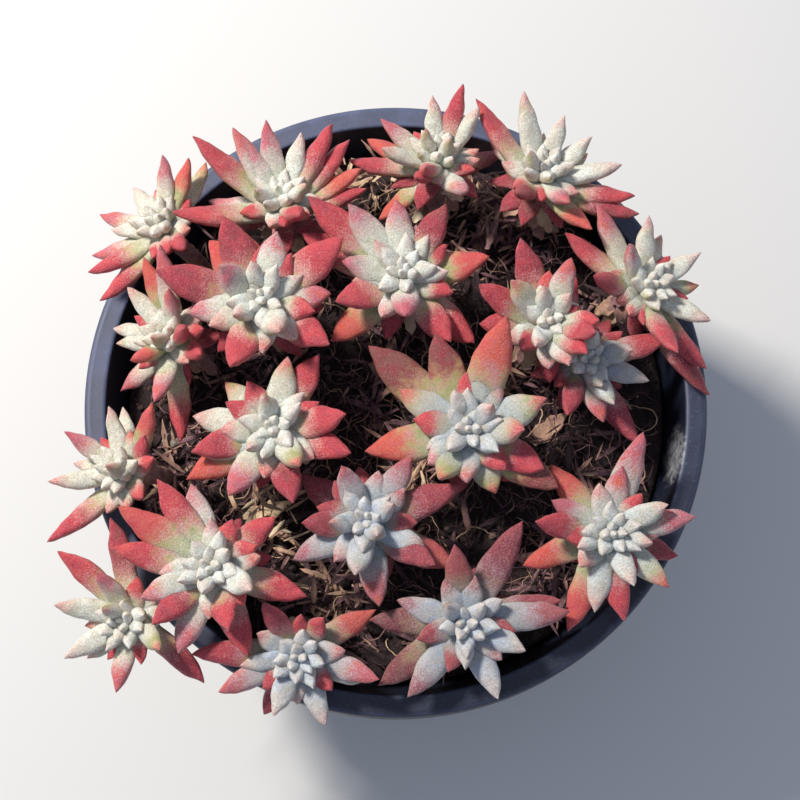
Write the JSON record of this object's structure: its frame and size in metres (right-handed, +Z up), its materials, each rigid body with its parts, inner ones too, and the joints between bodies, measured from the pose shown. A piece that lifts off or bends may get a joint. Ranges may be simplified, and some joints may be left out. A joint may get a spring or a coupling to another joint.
{
  "type": "potted succulent",
  "caption": "Clump of small dudleya rosettes with chalky centres and coral red tips, growing on short woody stems in gritty soil in a round black plastic pot",
  "frame": {"origin": "centre of the pot's flat foot, on the plane it stands on", "axes": "+Z up along the pot's axis, -Y the side the clump is looked at from, +X to the right seen from that side"},
  "size_m": [0.1552, 0.1523, 0.1159],
  "materials": {
    "black_plastic": "moulded satin black plastic, dusty and scuffed on the rim",
    "potting_soil": "loose, dark, gritty potting soil",
    "powdered_leaf": "fleshy leaf skin, chalky white at the centre, coral red towards the tips",
    "dry_stem": "dry bark and shrivelled leaves",
    "grit_stone": "rough mineral grit"
  },
  "bodies": {
    "root": {"pot": "black_plastic", "soil": "potting_soil", "rosette_01": "powdered_leaf", "rosette_02": "powdered_leaf", "rosette_03": "powdered_leaf", "rosette_04": "powdered_leaf", "rosette_05": "powdered_leaf", "rosette_06": "powdered_leaf", "rosette_07": "powdered_leaf", "rosette_08": "powdered_leaf", "rosette_09": "powdered_leaf", "rosette_10": "powdered_leaf", "rosette_11": "powdered_leaf", "rosette_12": "powdered_leaf", "rosette_13": "powdered_leaf", "rosette_14": "powdered_leaf", "rosette_15": "powdered_leaf", "rosette_16": "powdered_leaf", "rosette_17": "powdered_leaf", "rosette_18": "powdered_leaf", "rosette_19": "powdered_leaf", "stem_01": "dry_stem", "stem_02": "dry_stem", "stem_03": "dry_stem", "stem_04": "dry_stem", "stem_05": "dry_stem", "stem_06": "dry_stem", "stem_07": "dry_stem", "stem_08": "dry_stem", "stem_09": "dry_stem", "stem_10": "dry_stem", "stem_11": "dry_stem", "stem_12": "dry_stem", "stem_13": "dry_stem", "stem_14": "dry_stem", "stem_15": "dry_stem", "stem_16": "dry_stem", "stem_17": "dry_stem", "stem_18": "dry_stem", "stem_19": "dry_stem", "shed_leaf_1": "dry_stem", "shed_leaf_2": "dry_stem", "shed_leaf_3": "dry_stem", "shed_leaf_4": "dry_stem", "stone_1": "grit_stone", "stone_2": "grit_stone", "twig": "dry_stem"}
  },
  "joints": []
}
